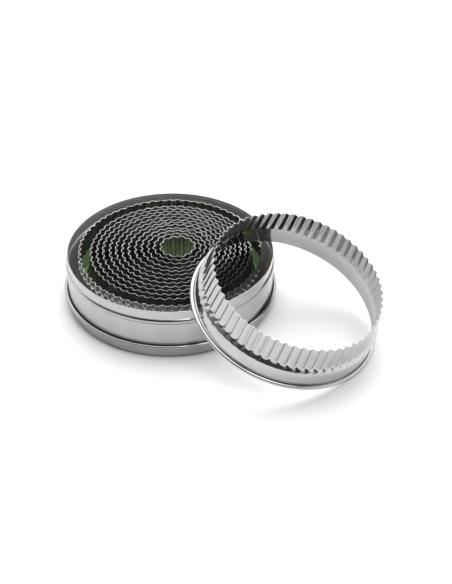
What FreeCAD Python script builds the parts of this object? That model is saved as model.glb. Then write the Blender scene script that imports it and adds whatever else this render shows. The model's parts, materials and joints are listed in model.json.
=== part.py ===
import FreeCAD, Part
import math
import os

os.makedirs("parts", exist_ok=True)

# A set of fluted round pastry cutters, nested in a round tin that stands in its own upturned slip lid.
# One cutter is out of the nest and leans on the tin's rim.
# Millimetres, Z up, the origin at the centre of the lid's panel where it meets the table.

# Tin, made to hold the nest: the play round the largest cutter's rim, and how deep the cutting edges lie
TIN_PLAY = 0.4
TIN_EDGE_RECESS = 0.75
TIN_SHEET = 0.3
TIN_CORNER_RADIUS = 1.6
TIN_HEM_DEPTH = 2.4
TIN_BEAD_DROP = 6.9
TIN_BEAD_WIDTH = 3.6
TIN_BEAD_RISE = 1.0

# Lid, upside down under the tin
LID_HEIGHT = 8.6
LID_SHEET = 0.3
LID_CORNER_RADIUS = 1.8
LID_CURL_DIAMETER = 2.0
LID_CURL_GAP = 0.3
LID_CLEARANCE = 0.15

# Disc on the tin's floor that the nest stands on
LINER_THICKNESS = 1.2
LINER_CLEARANCE = 0.4

# Cutters, measured to the middle of the sheet
CUTTER_COUNT = 14
SMALLEST_EDGE_DIAMETER = 20.0
EDGE_DIAMETER_STEP = 6.6
CUTTER_HEIGHT = 29.0
CUTTER_SHEET = 0.3
BAND_HEIGHT = 11.5
SHOULDER_HEIGHT = 2.2
FLUTE_PITCH = 5.1
FLUTE_DEPTH = 1.3
FLUTE_START_DEPTH = 1.2
RIM_CURL_DIAMETER = 2.4
RIM_CURL_GAP = 0.35

# The plain band's radius over the mean radius of the gathered cutting edge
GATHER_SHARE = 1.073
# How much of the gathering the outward folds show by the top of the shoulder
SHOULDER_SHARE = 0.12
# The outward folds' part of each flute's width and depth
CREST_SHARE = 0.62
# Each cutter's turn on from the cutter before it, as a part of a full turn
TURN_SHARE = 0.381966

# Nesting, and the cutter that is out of the nest
NEST_GAP = 0.3
LOOSE_NUMBER = 13

# How far each nested cutter lies off the centre of the next larger one, as shares of the room there,
# to the right and to the back, from the smallest cutter to the largest one, which lies in the tin.
DRIFT_SHARES = [
    (0.25, 0.20), (0.45, 0.50), (0.30, 0.60), (0.65, 0.25), (0.60, 0.55), (0.30, 0.60), (0.40, 0.60),
    (0.60, 0.40), (0.25, 0.65), (0.40, 0.65), (0.35, 0.70), (0.08, 0.02), (0.90, 0.05),
]

# The loose cutter leans on the tin: how far it reaches over the tin and on which side, seen from above,
# and the gap at its supports.
LEAN_OVERLAP = 36.8
LEAN_SIDE_DEGREES = -34.0
LEAN_GAP = 0.15
LEAN_STEPS = 720
LEAN_HALVINGS = 40

UP = FreeCAD.Vector(0, 0, 1)
CENTRE = FreeCAD.Vector(0, 0, 0)


def at(radius, height):
    """A point of a revolved profile."""
    return FreeCAD.Vector(radius, 0, height)


def around(radius, angle, height):
    """A point on a level circle round the axis."""
    return FreeCAD.Vector(radius * math.cos(angle), radius * math.sin(angle), height)


def on_circle(centre, radius, degrees):
    """A point of a profile's arc, from its centre."""
    angle = math.radians(degrees)
    return centre + FreeCAD.Vector(radius * math.cos(angle), 0, radius * math.sin(angle))


def line(start, end):
    return Part.LineSegment(start, end).toShape()


def arc(centre, radius, start, end):
    """An arc of a profile, between two angles in degrees."""
    points = [on_circle(centre, radius, angle) for angle in (start, (start + end) / 2, end)]
    return Part.Arc(*points).toShape()


def revolved(edges):
    """The ring that a closed profile makes round the axis."""
    return Part.Face(Part.Wire(edges)).revolve(CENTRE, UP, 360)


def bulge(radius, height, width, rise):
    """A shallow arc of a wall's profile that stands out by its rise."""
    points = [
        at(radius, height - width / 2),
        at(radius + rise, height),
        at(radius, height + width / 2),
    ]
    return Part.Arc(*points).toShape()


def curl_end(tube, sheet, gap):
    """The angle in degrees at which an outward curl stops short of the wall that it rolls from."""
    return math.degrees(math.acos((gap + sheet - tube) / tube))


def edge_radius(number):
    """The mean radius of a cutter's fluted edge; cutters are numbered from the smallest."""
    return (SMALLEST_EDGE_DIAMETER + EDGE_DIAMETER_STEP * (number - 1)) / 2


def band_radius(number):
    """The radius of a cutter's plain band, to the middle of the sheet."""
    return edge_radius(number) * GATHER_SHARE


def rim_radius(number):
    """How far a cutter's rolled rim reaches from its axis."""
    return band_radius(number) - CUTTER_SHEET / 2 + RIM_CURL_DIAMETER


def tin_radius():
    """The tin's outer radius: the largest cutter's rim goes in through the hem."""
    return rim_radius(CUTTER_COUNT) + TIN_PLAY + 2 * TIN_SHEET


def tin_height():
    return TIN_SHEET + LINER_THICKNESS + CUTTER_HEIGHT + TIN_EDGE_RECESS


def tin():
    """A drawn cup with a rounded foot, a hemmed rim and a raised bead that stops the lid."""
    outer = tin_radius()
    inner = outer - TIN_SHEET
    hem_inner = inner - TIN_SHEET
    hem_radius = TIN_SHEET
    hem_top = tin_height() - hem_radius
    hem_foot = tin_height() - TIN_HEM_DEPTH
    foot = at(outer - TIN_CORNER_RADIUS, TIN_CORNER_RADIUS)
    inner_corner = TIN_CORNER_RADIUS - TIN_SHEET
    bead = tin_height() - TIN_BEAD_DROP
    half_bead = TIN_BEAD_WIDTH / 2
    edges = [
        line(at(0, TIN_SHEET), at(0, 0)),
        line(at(0, 0), at(foot.x, 0)),
        arc(foot, TIN_CORNER_RADIUS, -90, 0),
        line(at(outer, foot.z), at(outer, bead - half_bead)),
        bulge(outer, bead, TIN_BEAD_WIDTH, TIN_BEAD_RISE),
        line(at(outer, bead + half_bead), at(outer, hem_top)),
        arc(at(inner, hem_top), hem_radius, 0, 180),
        line(at(hem_inner, hem_top), at(hem_inner, hem_foot)),
        line(at(hem_inner, hem_foot), at(inner, hem_foot)),
        line(at(inner, hem_foot), at(inner, bead + half_bead)),
        bulge(inner, bead, TIN_BEAD_WIDTH, TIN_BEAD_RISE),
        line(at(inner, bead - half_bead), at(inner, foot.z)),
        arc(foot, inner_corner, 0, -90),
        line(at(foot.x, TIN_SHEET), at(0, TIN_SHEET)),
    ]
    return revolved(edges).translated(UP * LID_SHEET)


def lid():
    """A shallow slip lid, panel down, with its skirt's edge curled outwards."""
    inner = tin_radius() + LID_CLEARANCE
    outer = inner + LID_SHEET
    foot = at(outer - LID_CORNER_RADIUS, LID_CORNER_RADIUS)
    tube = LID_CURL_DIAMETER / 2
    curl = at(inner + tube, LID_HEIGHT - tube)
    end = -curl_end(tube, LID_SHEET, LID_CURL_GAP)
    hollow = tube - LID_SHEET
    edges = [
        line(at(0, LID_SHEET), at(0, 0)),
        line(at(0, 0), at(foot.x, 0)),
        arc(foot, LID_CORNER_RADIUS, -90, 0),
        line(at(outer, foot.z), at(outer, curl.z)),
        arc(curl, hollow, 180, end),
        line(on_circle(curl, hollow, end), on_circle(curl, tube, end)),
        arc(curl, tube, end, 180),
        line(at(inner, curl.z), at(inner, foot.z)),
        arc(foot, LID_CORNER_RADIUS - LID_SHEET, 0, -90),
        line(at(foot.x, LID_SHEET), at(0, LID_SHEET)),
    ]
    return revolved(edges)


def floor_liner():
    """A loose disc that covers the flat of the tin's floor."""
    radius = tin_radius() - TIN_CORNER_RADIUS - LINER_CLEARANCE
    return Part.makeCylinder(radius, LINER_THICKNESS, at(0, LID_SHEET + TIN_SHEET), UP)


def flute_count(number):
    return round(2 * math.pi * edge_radius(number) / FLUTE_PITCH)


def section(mean_radius, depth, flutes, height, side):
    """One face of the sheet at one height: an outward and an inward arc for every flute."""
    half_sheet = side * CUTTER_SHEET / 2
    pitch = 2 * math.pi / flutes
    half_crest = pitch * CREST_SHARE / 2
    crossing = mean_radius + depth / 2 - depth * CREST_SHARE
    flank = 2 * math.atan2(depth * CREST_SHARE, crossing * half_crest)
    radius = crossing + half_sheet * math.cos(flank)
    shift = half_sheet * math.sin(flank) / crossing
    crest = mean_radius + depth / 2 + half_sheet
    valley = mean_radius - depth / 2 + half_sheet
    edges = []
    for flute in range(flutes):
        middle = flute * pitch
        start = around(radius, middle - half_crest - shift, height)
        turn = around(radius, middle + half_crest + shift, height)
        end = around(radius, middle + pitch - half_crest - shift, height)
        edges.append(Part.Arc(start, around(crest, middle, height), turn).toShape())
        edges.append(Part.Arc(turn, around(valley, middle + pitch / 2, height), end).toShape())
    return Part.Wire(edges)


def fluted_wall(number):
    """The gathered upper part of a cutter: a round foot, a scalloped shoulder and flutes up to the edge."""
    flutes = flute_count(number)
    band = band_radius(number)
    edge = edge_radius(number)
    shoulder_crest = band - (band - edge) * SHOULDER_SHARE
    shoulder = shoulder_crest - FLUTE_START_DEPTH / 2
    faces = []
    tops = []
    feet = []
    for side in (1, -1):
        wires = [
            section(band, 0, flutes, BAND_HEIGHT, side),
            section(shoulder, FLUTE_START_DEPTH, flutes, BAND_HEIGHT + SHOULDER_HEIGHT, side),
            section(edge, FLUTE_DEPTH, flutes, CUTTER_HEIGHT, side),
        ]
        faces += Part.makeLoft(wires, False, True).Faces
        feet.append(wires[0])
        tops.append(wires[-1])
    faces.append(Part.Face(feet))
    faces.append(Part.Face(tops))
    shell = Part.Shell(faces)
    shell.sewShape()
    return Part.Solid(shell)


def rim_and_band(number):
    """The plain lower part of a cutter, with its foot rolled outwards into an open curl."""
    inner = band_radius(number) - CUTTER_SHEET / 2
    outer = inner + CUTTER_SHEET
    tube = RIM_CURL_DIAMETER / 2
    hollow = tube - CUTTER_SHEET
    curl = at(inner + tube, tube)
    end = curl_end(tube, CUTTER_SHEET, RIM_CURL_GAP)
    edges = [
        line(at(inner, BAND_HEIGHT), at(inner, tube)),
        arc(curl, tube, -180, end),
        line(on_circle(curl, tube, end), on_circle(curl, hollow, end)),
        arc(curl, hollow, end, -180),
        line(at(outer, tube), at(outer, BAND_HEIGHT)),
        line(at(outer, BAND_HEIGHT), at(inner, BAND_HEIGHT)),
    ]
    return revolved(edges)


def cutter(number):
    """One cutter standing on its rim, its flutes turned on from those of the cutter before."""
    solid = rim_and_band(number).fuse(fluted_wall(number))
    return solid.rotated(CENTRE, UP, 360 * TURN_SHARE * number)


def nested():
    """The numbers of the cutters in the tin."""
    return [number for number in range(1, CUTTER_COUNT + 1) if number != LOOSE_NUMBER]


def nest_places():
    """Where the middle of each nested cutter lies, worked out from the tin inwards."""
    place = at(0, LID_SHEET + TIN_SHEET + LINER_THICKNESS)
    wall = tin_radius() - 2 * TIN_SHEET
    places = {}
    for number, drift_shares in zip(reversed(nested()), reversed(DRIFT_SHARES), strict=True):
        right_share, back_share = drift_shares
        room = wall - rim_radius(number) - NEST_GAP
        place = place + FreeCAD.Vector(room * right_share, room * back_share, 0)
        places[number] = place
        wall = band_radius(number) - CUTTER_SHEET / 2
    return places


def lean_place(tilt, ring):
    """The middle of the leaning cutter's curl, when the curl's lowest point stands on the table."""
    distance = tin_radius() + rim_radius(LOOSE_NUMBER) - LEAN_OVERLAP
    height = RIM_CURL_DIAMETER / 2 + ring * math.sin(tilt)
    return around(distance, math.radians(LEAN_SIDE_DEGREES), height)


def lean_clearance(tilt, ring):
    """How far the leaning cutter's curl clears the tin's rim, below zero where it would pass under it."""
    side = math.radians(LEAN_SIDE_DEGREES)
    middle = lean_place(tilt, ring)
    rim = at(tin_radius() - TIN_SHEET, LID_SHEET + tin_height() - TIN_SHEET)
    down_slope = FreeCAD.Vector(math.cos(side), math.sin(side), -math.tan(tilt)).normalize()
    level = FreeCAD.Vector(-math.sin(side), math.cos(side), 0)
    nearest = (math.inf, 0)
    for step in range(LEAN_STEPS):
        angle = 2 * math.pi * step / LEAN_STEPS
        point = middle + (down_slope * math.cos(angle) + level * math.sin(angle)) * ring
        apart = math.hypot(math.hypot(point.x, point.y) - rim.x, point.z - rim.z)
        nearest = min(nearest, (apart, point.z - rim.z))
    apart, above = nearest
    return math.copysign(apart, above) - RIM_CURL_DIAMETER / 2 - TIN_SHEET


def lean_tilt(ring):
    """The tilt at which the leaning cutter comes down onto the tin's rim, in radians."""
    low = 0
    high = math.pi / 4
    for _ in range(LEAN_HALVINGS):
        tilt = (low + high) / 2
        if lean_clearance(tilt, ring) < LEAN_GAP:
            low = tilt
        else:
            high = tilt
    return high


def leaned(solid):
    """The loose cutter leant against the tin, with its curl on the table and on the tin's rim."""
    tube = RIM_CURL_DIAMETER / 2
    ring = rim_radius(LOOSE_NUMBER) - tube
    tilt = lean_tilt(ring)
    side = math.radians(LEAN_SIDE_DEGREES)
    hinge = FreeCAD.Vector(-math.sin(side), math.cos(side), 0)
    raised = solid.translated(UP * -tube)
    tilted = raised.rotated(CENTRE, hinge, math.degrees(tilt))
    return tilted.translated(lean_place(tilt, ring) + UP * LEAN_GAP)


def main():
    lid().exportStep("parts/lid.step")
    tin().exportStep("parts/tin.step")
    floor_liner().exportStep("parts/floor_liner.step")
    for number, place in nest_places().items():
        cutter(number).translated(place).exportStep(f"parts/cutter_{number:02d}.step")
    leaned(cutter(LOOSE_NUMBER)).exportStep(f"parts/cutter_{LOOSE_NUMBER:02d}.step")


main()
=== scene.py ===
import json
import math

import bpy
import numpy as np
from mathutils import Matrix, Vector

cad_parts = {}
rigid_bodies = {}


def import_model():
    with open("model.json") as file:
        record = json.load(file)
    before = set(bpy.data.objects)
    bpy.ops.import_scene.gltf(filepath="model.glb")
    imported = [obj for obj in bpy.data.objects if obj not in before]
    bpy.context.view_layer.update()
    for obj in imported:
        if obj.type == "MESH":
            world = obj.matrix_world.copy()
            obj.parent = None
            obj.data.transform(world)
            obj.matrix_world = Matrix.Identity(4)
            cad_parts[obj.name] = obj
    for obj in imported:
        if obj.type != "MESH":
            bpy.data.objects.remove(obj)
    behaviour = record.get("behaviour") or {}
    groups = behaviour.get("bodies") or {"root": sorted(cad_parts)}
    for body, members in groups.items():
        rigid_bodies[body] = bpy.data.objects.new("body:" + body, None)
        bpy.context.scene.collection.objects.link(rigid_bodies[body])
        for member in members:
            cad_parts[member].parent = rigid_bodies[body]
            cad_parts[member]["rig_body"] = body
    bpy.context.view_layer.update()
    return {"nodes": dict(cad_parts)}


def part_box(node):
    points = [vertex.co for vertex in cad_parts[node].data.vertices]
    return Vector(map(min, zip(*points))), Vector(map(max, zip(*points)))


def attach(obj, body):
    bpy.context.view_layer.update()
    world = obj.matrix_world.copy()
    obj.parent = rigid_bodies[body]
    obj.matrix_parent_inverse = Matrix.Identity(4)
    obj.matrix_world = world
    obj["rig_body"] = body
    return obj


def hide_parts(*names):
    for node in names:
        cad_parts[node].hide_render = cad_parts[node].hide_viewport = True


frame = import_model()

# Metres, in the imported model's frame. The sizes that the frame's boxes don't give are the model's own.
# Cutters, with their radii to the middle of the sheet
CUTTERS = range(1, 15)
LOOSE_CUTTER = 13
SMALLEST_EDGE_RADIUS = 0.01
EDGE_RADIUS_STEP = 0.0033
CUTTER_HEIGHT = 0.029
CUTTER_SHEET = 0.0003
BAND_HEIGHT = 0.0115
SHOULDER_HEIGHT = 0.0025
FLUTE_START = 0.0044
FLUTE_PITCH = 0.0051
FLUTE_DEPTH = 0.0013
# The plain band's radius over the middle radius of the gathered cutting edge
GATHER_SHARE = 1.073
# How much of the gathering the outward folds take by the top of the shoulder
SHOULDER_SHARE = 0.47
# How far the slopes of the shoulder and the flutes' start are eased at their ends
ROUND_SHARE = 0.35
# The outward folds' part of each flute's width and depth
CREST_SHARE = 0.7
# Each cutter's turn on from the cutter before it, as a part of a full turn
TURN_SHARE = 0.381966
# The cutting edge: its part of the sheet's thickness, and how far its face drops inwards over its width
EDGE_SHARE = 0.4
EDGE_TILT = 0.08
RIM_TUBE = 0.0012
RIM_CURL_GAP = 0.00035
# The lap where the strip's ends meet, the run-out of its step, and its place round the band
LAP_WIDTH = 0.008
LAP_EASE = 0.022
LAP_DEGREES = 215
# How far the free edge and each flute stray from true, and how many waves go round the edge
EDGE_STRAY = 0.0002
FLUTE_STRAY_SHARE = 0.07
STRAY_WAVES = (2, 3, 5)
# Tin and lid
TIN_SHEET = 0.0003
TIN_CORNER = 0.0016
TIN_HEM_DEPTH = 0.0024
TIN_BEAD_DROP = 0.0069
TIN_BEAD_WIDTH = 0.0036
TIN_BEAD_RISE = 0.001
LID_SHEET = 0.0003
LID_CORNER = 0.0018
LID_TUBE = 0.001
LID_CURL_GAP = 0.0003
LID_CLEARANCE = 0.00015
# The rounding of the liner's edges, as a part of its thickness
LINER_EASE_SHARE = 0.25
# Mesh fineness
# Rows of the fluted wall above the flutes' start, as parts of the way down from the edge
UPPER_ROWS = (0, 0.5)
FLUTE_STEPS = 12
CURL_STEPS = 14
HOLLOW_STEPS = 7
SHOULDER_STEPS = 13
CORNER_STEPS = 7
BEAD_STEPS = 11
HEM_STEPS = 9
LID_CURL_STEPS = 17
LID_HOLLOW_STEPS = 13
LINER_EDGE_STEPS = 4
LATHE_STEPS = 288
SHARP_ANGLE = math.radians(42)
# The least rise of a flute, which keeps its bend finite where it runs out
LEAST_RISE = 1e-9
# Places of the finishes in a cutter's list of materials: the cut edge's, whose brighter colour is a
# painted highlight, and the inside's, a darker copy of the steel that is painted shade
EDGE_HIGHLIGHT_FINISH = 1
INSIDE_SHADE_FINISH = 2

# The camera, as fitted to the tin's rims in the photograph
CAMERA_PLACE = (0.0325, -0.957, 0.7102)
CAMERA_PITCH = math.radians(90 - 36.53)
CAMERA_LENS = 124.4
CAMERA_SENSOR = 36

FLOOR_SIZE = 24.0
FLOOR_WHITE = (0.84, 0.84, 0.84, 1)
# Brightness of the room's front, left, back and right
FRONT_GLOW = 0.04
LEFT_GLOW = 0.25
BACK_GLOW = 1.3
RIGHT_GLOW = 1.2

# How fine the metal's clouds and smudges, the cut edge's nicks and the liner's mottle are, per metre
CLOUD_SCALE = 90
SMUDGE_SCALE = 260
NICK_SCALE = 900
MOTTLE_SCALE = 160

UP = Vector((0, 0, 1))


def new_object(name, points, faces, loops_uv):
    """A mesh object with smooth faces, sharp creases and a UV map in metres."""
    mesh = bpy.data.meshes.new(name)
    mesh.from_pydata(points.tolist(), [], faces)
    layer = mesh.uv_layers.new(name="sheet")
    layer.data.foreach_set("uv", np.asarray(loops_uv, np.float32).ravel())
    mesh.polygons.foreach_set("use_smooth", [True] * len(mesh.polygons))
    mesh.set_sharp_from_angle(angle=SHARP_ANGLE)
    mesh.validate()
    piece = bpy.data.objects.new(name, mesh)
    bpy.context.scene.collection.objects.link(piece)
    return piece


def seat(piece, node, materials):
    """Puts a piece in the place of its CAD node, on that node's body, with its finish."""
    for material in materials:
        piece.data.materials.append(material)
    body = frame["nodes"][node]["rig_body"]
    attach(piece, body)
    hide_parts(node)


def arc_points(centre, radius, start, end, count):
    """Points of a profile's arc between two angles in degrees."""
    angles = np.radians(np.linspace(start, end, count))
    return [(centre[0] + radius * math.cos(a), centre[1] + radius * math.sin(a)) for a in angles]


def curl_end(tube, sheet, gap):
    """Where an outward curl stops short of the wall that it rolls from, in degrees."""
    return math.degrees(math.acos((gap + sheet - tube) / tube))


def ring_faces(rows, columns):
    """Quads of a grid that closes round both ways."""
    faces = []
    for row in range(rows):
        below = (row + 1) % rows
        for column in range(columns):
            beside = (column + 1) % columns
            faces.append((row * columns + column, below * columns + column,
                          below * columns + beside, row * columns + beside))
    return faces


def ring_uv(rows, columns, round_length, row_lengths):
    """UV in metres: along the strip, and down across it."""
    uv = []
    for row in range(rows):
        top, foot = row_lengths[row], row_lengths[row + 1]
        for column in range(columns):
            left = round_length * column / columns
            right = round_length * (column + 1) / columns
            uv += [(left, top), (left, foot), (right, foot), (right, top)]
    return uv


# Cutters

def flute_wave(phase, pitch, depth):
    """A flute's radial offset from its crossing, an outward and an inward arc, and its normal's lean."""
    crest = np.abs(phase) < CREST_SHARE / 2
    shares = np.where(crest, CREST_SHARE, 1 - CREST_SHARE)
    along = np.where(crest, phase, np.sign(phase) * (0.5 - np.abs(phase))) * pitch
    rise = np.maximum(depth * shares, LEAST_RISE)
    half = pitch * shares / 2
    bend = (half ** 2 + rise ** 2) / (2 * rise)
    height = np.sqrt(np.maximum(bend ** 2 - along ** 2, 0)) - (bend - rise)
    outward = np.where(crest, 1.0, -1.0)
    lean = np.arcsin(np.clip(along / bend, -1, 1))
    return outward * height, lean


def cutter_rows(band):
    """The strip's cross-section, from the inside of the edge down round the curl and up the outside."""
    half = CUTTER_SHEET / 2
    hollow = RIM_TUBE - CUTTER_SHEET
    curl = (band - half + RIM_TUBE, RIM_TUBE)
    end = curl_end(RIM_TUBE, CUTTER_SHEET, RIM_CURL_GAP)
    shoulder = [BAND_HEIGHT + FLUTE_START * share for share in np.linspace(0, 1, SHOULDER_STEPS)]
    upper = [CUTTER_HEIGHT - (CUTTER_HEIGHT - shoulder[-1]) * share for share in UPPER_ROWS]
    rows = [("wall", height, -1) for height in upper + shoulder[::-1]]
    rows += [("wall", RIM_TUBE * 2, -1)]
    rows += [("ring",) + point for point in arc_points(curl, RIM_TUBE, -180, end, CURL_STEPS)]
    rows += [("ring",) + point for point in arc_points(curl, hollow, end, -180, HOLLOW_STEPS)]
    rows += [("wall", RIM_TUBE * 2, 1)]
    rows += [("wall", height, 1) for height in shoulder + upper[::-1]]
    return rows


def smooth(share):
    """A rise from 0 to 1 that is level at both ends."""
    share = np.clip(share, 0, 1)
    return share * share * (3 - 2 * share)


def slope(share):
    """A straight slope from 0 to 1 with its ends rounded off a little."""
    return np.clip(share, 0, 1) * (1 - ROUND_SHARE) + smooth(share) * ROUND_SHARE


def cutter_mesh(name, band, number):
    """One cutter, standing on its rim about its own axis."""
    edge = band / GATHER_SHARE
    flutes = round(2 * math.pi * edge / FLUTE_PITCH)
    columns = flutes * FLUTE_STEPS
    chance = np.random.default_rng(number)
    angles = np.arange(columns) / columns * 2 * math.pi
    phase = (np.arange(columns) % FLUTE_STEPS) / FLUTE_STEPS
    phase = np.where(phase >= 0.5, phase - 1, phase)
    flute = ((np.arange(columns) + FLUTE_STEPS // 2) // FLUTE_STEPS) % flutes
    depth_shares = 1 + FLUTE_STRAY_SHARE * chance.uniform(-1, 1, flutes)[flute]
    stray = sum(chance.uniform(-1, 1) * np.cos(wave * angles + chance.uniform(0, 2 * math.pi))
                for wave in STRAY_WAVES)
    along = ((angles - math.radians(LAP_DEGREES)) % (2 * math.pi)) * band
    lap = np.where(along < LAP_WIDTH, 1.0, 1 - smooth((along - LAP_WIDTH) / LAP_EASE))
    rings = []
    profile = cutter_rows(band)
    for row in profile:
        if row[0] == "ring":
            radius = np.full(columns, row[1])
            turn = angles
            height = row[2]
        else:
            height, side = row[1:]
            fold = slope((height - BAND_HEIGHT) / SHOULDER_HEIGHT)
            climb = max(0.0, height - BAND_HEIGHT - SHOULDER_HEIGHT)
            climb /= CUTTER_HEIGHT - BAND_HEIGHT - SHOULDER_HEIGHT
            depth = FLUTE_DEPTH * slope((height - BAND_HEIGHT) / FLUTE_START) * depth_shares
            crest = band - (band - edge) * SHOULDER_SHARE * fold
            top_crest = edge + FLUTE_DEPTH / 2
            crest = crest + (top_crest - crest) * climb
            crossing = crest - depth * CREST_SHARE
            offset, lean = flute_wave(phase, 2 * math.pi * edge / flutes, depth)
            thick = side * CUTTER_SHEET / 2 * (EDGE_SHARE if height == CUTTER_HEIGHT else 1)
            radius = crossing + offset + thick * np.cos(lean) + EDGE_STRAY * stray * climb
            radius = radius + (CUTTER_SHEET * lap * (1 - fold) if side > 0 else 0)
            turn = angles + thick * np.sin(lean) / crossing
            if height == CUTTER_HEIGHT and side < 0:
                height -= CUTTER_SHEET * EDGE_SHARE * EDGE_TILT
        heights = np.full(columns, height)
        rings.append(np.stack([radius * np.cos(turn), radius * np.sin(turn), heights], 1))
    points = np.concatenate(rings)
    rows = len(rings)
    steps = [np.linalg.norm(rings[(row + 1) % rows][0] - rings[row][0]) for row in range(rows)]
    lengths = np.concatenate([[0.0], np.cumsum(steps)])
    piece = new_object(name, points, ring_faces(rows, columns),
                       ring_uv(rows, columns, 2 * math.pi * band, lengths))
    finish = np.zeros((rows, columns), np.int32)
    # The rows inside the strip take the darker steel, painted shade for the cutters' insides
    finish[:[row[0] for row in profile].index("ring")] = INSIDE_SHADE_FINISH
    # The top row takes the cut edge's brighter steel, a painted highlight
    finish[rows - 1] = EDGE_HIGHLIGHT_FINISH
    piece.data.polygons.foreach_set("material_index", finish.ravel())
    return piece


def nested_place(node):
    """A nested cutter's place: the middle of its box, at its foot."""
    low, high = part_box(node)
    return Matrix.Translation(((low.x + high.x) / 2, (low.y + high.y) / 2, low.z))


def loose_place(node, ring):
    """The leaning cutter's place: its axis is the way in which its walls' area spreads least."""
    mesh = frame["nodes"][node].data
    areas = np.empty(len(mesh.polygons))
    mesh.polygons.foreach_get("area", areas)
    middles = np.empty((len(areas), 3)).ravel()
    mesh.polygons.foreach_get("center", middles)
    middles = middles.reshape(-1, 3)
    centre = areas @ middles / areas.sum()
    apart = middles - centre
    axis = Vector(np.linalg.eigh((apart * areas[:, None]).T @ apart)[1][:, 0])
    axis *= math.copysign(1, axis.z)
    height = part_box(node)[0].z + RIM_TUBE + ring * math.sin(axis.angle(UP))
    middle = Vector(centre) + axis * ((height - centre[2]) / axis.z)
    turn = UP.rotation_difference(axis).to_matrix().to_4x4()
    return Matrix.Translation(middle) @ turn @ Matrix.Translation((0, 0, -RIM_TUBE))


def cutter(number, materials):
    node = f"cutter_{number:02d}"
    band = (SMALLEST_EDGE_RADIUS + EDGE_RADIUS_STEP * (number - 1)) * GATHER_SHARE
    piece = cutter_mesh(f"fluted_{node}", band, number)
    spin = Matrix.Rotation(2 * math.pi * TURN_SHARE * number, 4, "Z")
    if number == LOOSE_CUTTER:
        place = loose_place(node, band - CUTTER_SHEET / 2 + RIM_TUBE)
    else:
        place = nested_place(node)
    piece.data.transform(place @ spin)
    seat(piece, node, materials)


# Tin, lid and liner

def lathe(name, profile, inside=None):
    """A cup or disc turned from a profile that starts and ends on the axis.

    The faces from the point numbered inside on take the piece's second finish."""
    columns = LATHE_STEPS
    angles = np.arange(columns) / columns * 2 * math.pi
    inner = profile[1:-1]
    points = [(0, 0, profile[0][1])]
    for radius, height in inner:
        points += [(radius * math.cos(a), radius * math.sin(a), height) for a in angles]
    points.append((0, 0, profile[-1][1]))
    last = len(points) - 1
    steps = np.linalg.norm(np.diff(np.array(profile), axis=0), axis=1)
    lengths = np.concatenate([[0.0], np.cumsum(steps)])
    round_length = 2 * math.pi * max(radius for radius, _ in profile)
    faces = []
    uv = []
    for column in range(columns):
        beside = (column + 1) % columns
        left = round_length * column / columns
        right = round_length * (column + 1) / columns
        faces.append((0, 1 + column, 1 + beside))
        uv += [(left, 0), (left, lengths[1]), (right, lengths[1])]
        for row in range(len(inner) - 1):
            start = 1 + row * columns
            below = start + columns
            faces.append((start + column, below + column, below + beside, start + beside))
            top, foot = lengths[row + 1], lengths[row + 2]
            uv += [(left, top), (left, foot), (right, foot), (right, top)]
        start = 1 + (len(inner) - 1) * columns
        faces.append((start + column, last, start + beside))
        uv += [(left, lengths[-2]), (left, lengths[-1]), (right, lengths[-2])]
    piece = new_object(name, np.array(points, float), faces, uv)
    if inside is not None:
        rows = np.arange(len(faces)) % (len(profile) - 1)
        piece.data.polygons.foreach_set("material_index", (rows >= inside).astype(np.int32))
    return piece


def bulge(radius, height):
    """Points up a raised bead in a wall's profile."""
    half = TIN_BEAD_WIDTH / 2
    bend = (half ** 2 + TIN_BEAD_RISE ** 2) / (2 * TIN_BEAD_RISE)
    points = []
    for share in np.linspace(-1, 1, BEAD_STEPS):
        across = share * half
        out = math.sqrt(bend ** 2 - across ** 2) - (bend - TIN_BEAD_RISE)
        points.append((radius + out, height + across))
    return points


def tin_radius():
    """The tin's wall, inside the bead that is its widest part."""
    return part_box("tin")[1].y - TIN_BEAD_RISE


def tin(materials):
    low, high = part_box("tin")
    foot, top = low.z, high.z
    outer = tin_radius()
    inner = outer - TIN_SHEET
    hem_inner = inner - TIN_SHEET
    corner = (outer - TIN_CORNER, foot + TIN_CORNER)
    bead = top - TIN_BEAD_DROP
    profile = [(0, foot)]
    profile += arc_points(corner, TIN_CORNER, -90, 0, CORNER_STEPS)
    profile += bulge(outer, bead)
    profile += arc_points((inner, top - TIN_SHEET), TIN_SHEET, 0, 180, HEM_STEPS)
    inside = len(profile) - 1
    profile += [(hem_inner, top - TIN_HEM_DEPTH), (inner, top - TIN_HEM_DEPTH)]
    profile += bulge(inner, bead)[::-1]
    profile += arc_points(corner, TIN_CORNER - TIN_SHEET, 0, -90, CORNER_STEPS)
    profile += [(0, foot + TIN_SHEET)]
    seat(lathe("drawn_tin", profile, inside), "tin", materials)


def lid(materials):
    low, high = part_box("lid")
    inner = tin_radius() + LID_CLEARANCE
    outer = inner + LID_SHEET
    corner = (outer - LID_CORNER, low.z + LID_CORNER)
    curl = (inner + LID_TUBE, high.z - LID_TUBE)
    end = -curl_end(LID_TUBE, LID_SHEET, LID_CURL_GAP)
    profile = [(0, low.z)]
    profile += arc_points(corner, LID_CORNER, -90, 0, CORNER_STEPS)
    profile += arc_points(curl, LID_TUBE - LID_SHEET, 180, end, LID_HOLLOW_STEPS)
    profile += arc_points(curl, LID_TUBE, end, 180, LID_CURL_STEPS)
    profile += arc_points(corner, LID_CORNER - LID_SHEET, 0, -90, CORNER_STEPS)
    profile += [(0, low.z + LID_SHEET)]
    seat(lathe("slip_lid", profile), "lid", materials)


def liner(materials):
    low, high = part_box("floor_liner")
    radius = high.x
    ease = (high.z - low.z) * LINER_EASE_SHARE
    profile = [(0, low.z)]
    profile += arc_points((radius - ease, low.z + ease), ease, -90, 0, LINER_EDGE_STEPS)
    profile += arc_points((radius - ease, high.z - ease), ease, 0, 90, LINER_EDGE_STEPS)
    profile += [(0, high.z)]
    seat(lathe("green_liner", profile), "floor_liner", materials)


# Materials

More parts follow.
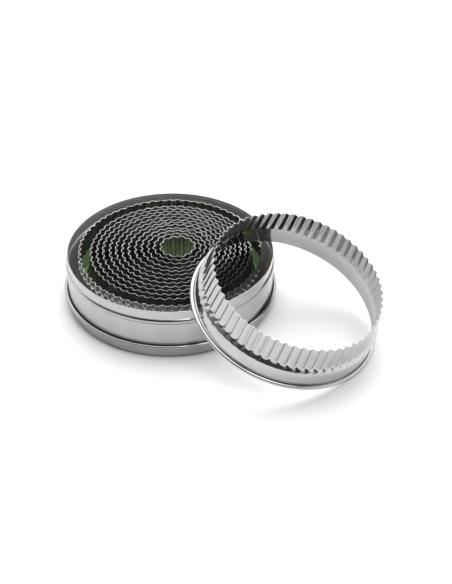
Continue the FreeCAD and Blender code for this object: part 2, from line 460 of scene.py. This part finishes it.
def nodes_of(name):
    material = bpy.data.materials.new(name)
    material.use_nodes = True
    tree = material.node_tree
    return material, tree, tree.nodes["Principled BSDF"]


def link(tree, source, target):
    tree.links.new(source, target)


def noise(tree, vector, scale, detail, stretch=(1, 1, 1)):
    """Noise over a vector, drawn out by a stretch."""
    mapping = tree.nodes.new("ShaderNodeMapping")
    mapping.inputs["Scale"].default_value = stretch
    texture = tree.nodes.new("ShaderNodeTexNoise")
    texture.inputs["Scale"].default_value = scale
    texture.inputs["Detail"].default_value = detail
    link(tree, vector, mapping.inputs["Vector"])
    link(tree, mapping.outputs["Vector"], texture.inputs["Vector"])
    return texture.outputs["Fac"]


def spread(tree, value, low, high, start=0.3, end=0.7):
    """A value between start and end laid out from low to high."""
    node = tree.nodes.new("ShaderNodeMapRange")
    node.inputs["From Min"].default_value = start
    node.inputs["From Max"].default_value = end
    node.inputs["To Min"].default_value = low
    node.inputs["To Max"].default_value = high
    link(tree, value, node.inputs["Value"])
    return node.outputs["Result"]


def join(tree, operation, first, second):
    node = tree.nodes.new("ShaderNodeMath")
    node.operation = operation
    link(tree, first, node.inputs[0])
    link(tree, second, node.inputs[1])
    return node.outputs["Value"]


def ramp(tree, value, dark, light):
    node = tree.nodes.new("ShaderNodeMix")
    node.data_type = "RGBA"
    node.inputs["A"].default_value = dark + (1,)
    node.inputs["B"].default_value = light + (1,)
    link(tree, value, node.inputs["Factor"])
    return node.outputs["Result"]


def bump(tree, shader, height, strength, distance):
    node = tree.nodes.new("ShaderNodeBump")
    node.inputs["Strength"].default_value = strength
    node.inputs["Distance"].default_value = distance
    link(tree, height, node.inputs["Height"])
    link(tree, node.outputs["Normal"], shader.inputs["Normal"])


def sheet_metal(name, dark, light, smooth_rough, dull_rough, lines, lines_strength, metallic=1.0):
    """Rolled sheet: faint lines along the strip, cloudy dulling and small smudges."""
    material, tree, shader = nodes_of(name)
    place = tree.nodes.new("ShaderNodeTexCoord")
    strip = place.outputs["UV"]
    solid = place.outputs["Object"]
    clouds = noise(tree, solid, CLOUD_SCALE, detail=4.0)
    smudges = noise(tree, solid, SMUDGE_SCALE, detail=2.0)
    rolled = noise(tree, strip, lines, detail=2.0, stretch=(0.02, 1, 1))
    shader.inputs["Metallic"].default_value = metallic
    link(tree, ramp(tree, spread(tree, clouds, 0, 1), dark, light), shader.inputs["Base Color"])
    smeared = spread(tree, smudges, low=0, high=0.03, start=0.5, end=0.75)
    dull = join(tree, "ADD", spread(tree, clouds, smooth_rough, dull_rough), smeared)
    streaks = spread(tree, rolled, low=-0.01, high=0.02)
    link(tree, join(tree, "ADD", dull, streaks), shader.inputs["Roughness"])
    bump(tree, shader, rolled, lines_strength, distance=0.00002)
    return material


def highlit_cut_edge():
    """The sheared edge of the strip: duller than the rolled faces, and far brighter than them, a painted
    highlight along the edge lines.
    """
    material, tree, shader = nodes_of("highlit_cut_edge")
    place = tree.nodes.new("ShaderNodeTexCoord")
    nicks = noise(tree, place.outputs["Object"], NICK_SCALE, detail=2.0)
    shader.inputs["Metallic"].default_value = 1.0
    # A base colour far above the steel's: painted highlight, with random nicks in its tone
    tone = ramp(tree, spread(tree, nicks, 0, 1), dark=(0.75, 0.75, 0.75), light=(0.9, 0.9, 0.9))
    link(tree, tone, shader.inputs["Base Color"])
    link(tree, spread(tree, nicks, low=0.32, high=0.42), shader.inputs["Roughness"])
    bump(tree, shader, nicks, strength=0.08, distance=0.00005)
    return material


def green_sheet():
    """A smooth green sheet with a faint mottle, and a painted pool of light that makes its middle paler.
    """
    material, tree, shader = nodes_of("green_sheet")
    place = tree.nodes.new("ShaderNodeTexCoord")
    mottle = noise(tree, place.outputs["Object"], MOTTLE_SCALE, detail=4.0)
    outwards = tree.nodes.new("ShaderNodeVectorMath")
    outwards.operation = "LENGTH"
    link(tree, place.outputs["Object"], outwards.inputs[0])
    # Painted light: the sheet is paler towards its middle, under the smallest cutters
    painted_light_pool = spread(tree, outwards.outputs["Value"], low=0.85, high=0, start=0.014, end=0.03)
    light_pool_and_mottle = join(tree, "ADD", painted_light_pool, spread(tree, mottle, low=0, high=0.15))
    tone = ramp(tree, light_pool_and_mottle, dark=(0.48, 0.78, 0.34), light=(0.68, 0.98, 0.52))
    link(tree, tone, shader.inputs["Base Color"])
    link(tree, spread(tree, mottle, low=0.35, high=0.5), shader.inputs["Roughness"])
    bump(tree, shader, mottle, strength=0.15, distance=0.0002)
    return material


# Floor, light and camera

def floor():
    half = FLOOR_SIZE / 2
    corners = [(-half, -half, 0), (half, -half, 0), (half, half, 0), (-half, half, 0)]
    mesh = bpy.data.meshes.new("floor")
    mesh.from_pydata(corners, [], [(0, 1, 2, 3)])
    piece = bpy.data.objects.new("floor", mesh)
    bpy.context.scene.collection.objects.link(piece)
    material, _, shader = nodes_of("floor_white")
    shader.inputs["Base Color"].default_value = FLOOR_WHITE
    shader.inputs["Roughness"].default_value = 0.6
    shader.inputs["Specular IOR Level"].default_value = 0.2
    mesh.materials.append(material)


def soft_box(name, place, aim, size, power):
    lamp = bpy.data.lights.new(name, "AREA")
    lamp.shape = "ELLIPSE"
    lamp.size, lamp.size_y = size
    lamp.energy = power
    box = bpy.data.objects.new(name, lamp)
    box.location = place
    box.rotation_euler = (Vector(aim) - Vector(place)).to_track_quat("-Z", "Y").to_euler()
    bpy.context.scene.collection.objects.link(box)


def studio():
    """A room that is white at the back and the right and dark at the front."""
    world = bpy.data.worlds.new("studio")
    world.use_nodes = True
    bpy.context.scene.world = world
    tree = world.node_tree
    towards = tree.nodes.new("ShaderNodeSeparateXYZ")
    link(tree, tree.nodes.new("ShaderNodeTexCoord").outputs["Generated"], towards.inputs["Vector"])
    background = tree.nodes["Background"]
    background.inputs["Color"].default_value = (1, 1, 1, 1)
    front = spread(tree, towards.outputs["Y"], FRONT_GLOW, LEFT_GLOW, start=-0.8, end=-0.4)
    back = spread(tree, towards.outputs["Y"], 0, BACK_GLOW - LEFT_GLOW, start=-0.05, end=0.35)
    right = spread(tree, towards.outputs["X"], 0, RIGHT_GLOW - LEFT_GLOW, start=0.45, end=0.9)
    walls = join(tree, "MAXIMUM", back, right)
    link(tree, join(tree, "ADD", front, walls), background.inputs["Strength"])


def lights():
    soft_box("overhead_box", place=(0.05, 0.225, 1.2), aim=(0.05, 0.225, 0), size=(1.8, 1.95), power=17)
    soft_box("front_box", place=(0.55, -0.75, 1.15), aim=(0, 0, 0), size=(0.9, 0.7), power=2.8)
    soft_box("back_box", place=(0, 1.2, 1.25), aim=(0, 0, 0.04), size=(1.6, 0.4), power=7)
    studio()


def camera():
    data = bpy.data.cameras.new("camera")
    data.lens = CAMERA_LENS
    data.sensor_width = CAMERA_SENSOR
    eye = bpy.data.objects.new("camera", data)
    eye.location = CAMERA_PLACE
    eye.rotation_euler = (CAMERA_PITCH, 0, 0)
    bpy.context.scene.collection.objects.link(eye)
    scene = bpy.context.scene
    scene.camera = eye
    scene.view_settings.view_transform = "Standard"


def main():
    steel = sheet_metal("bright_steel", dark=(0.49, 0.485, 0.475), light=(0.53, 0.525, 0.515),
                        smooth_rough=0.08, dull_rough=0.11, lines=5000, lines_strength=0.03, metallic=0.96)
    # The cutters' insides: a darker copy of the bright steel, painted shade for the shadowed insides, and
    # a little rougher
    inner_shade_steel = sheet_metal("shaded_inner_steel", dark=(0.44, 0.435, 0.425), light=(0.48, 0.475, 0.465),
                        smooth_rough=0.12, dull_rough=0.16, lines=5000, lines_strength=0.03, metallic=0.95)
    plate = sheet_metal("tinplate", dark=(0.44, 0.435, 0.43), light=(0.47, 0.465, 0.46),
                        smooth_rough=0.16, dull_rough=0.19, lines=4000, lines_strength=0.02)
    dull = sheet_metal("dull_tinplate", dark=(0.55, 0.545, 0.535), light=(0.6, 0.595, 0.585),
                       smooth_rough=0.18, dull_rough=0.23, lines=4000, lines_strength=0.02, metallic=0.6)
    # The lid: a darker copy of the tinplate, painted shade for the skirt that stands in the floor's
    # contact shadow, and a little rougher
    lid_shade_plate = sheet_metal("shaded_lid_tinplate", dark=(0.36, 0.355, 0.35), light=(0.4, 0.395, 0.39),
                       smooth_rough=0.2, dull_rough=0.26, lines=4000, lines_strength=0.03)
    # The cut edge, brightened as a painted highlight
    edge = highlit_cut_edge()
    for number in CUTTERS:
        cutter(number, [steel, edge, inner_shade_steel])
    tin([plate, dull])
    lid([lid_shade_plate])
    liner([green_sheet()])
    floor()
    lights()
    camera()


main()
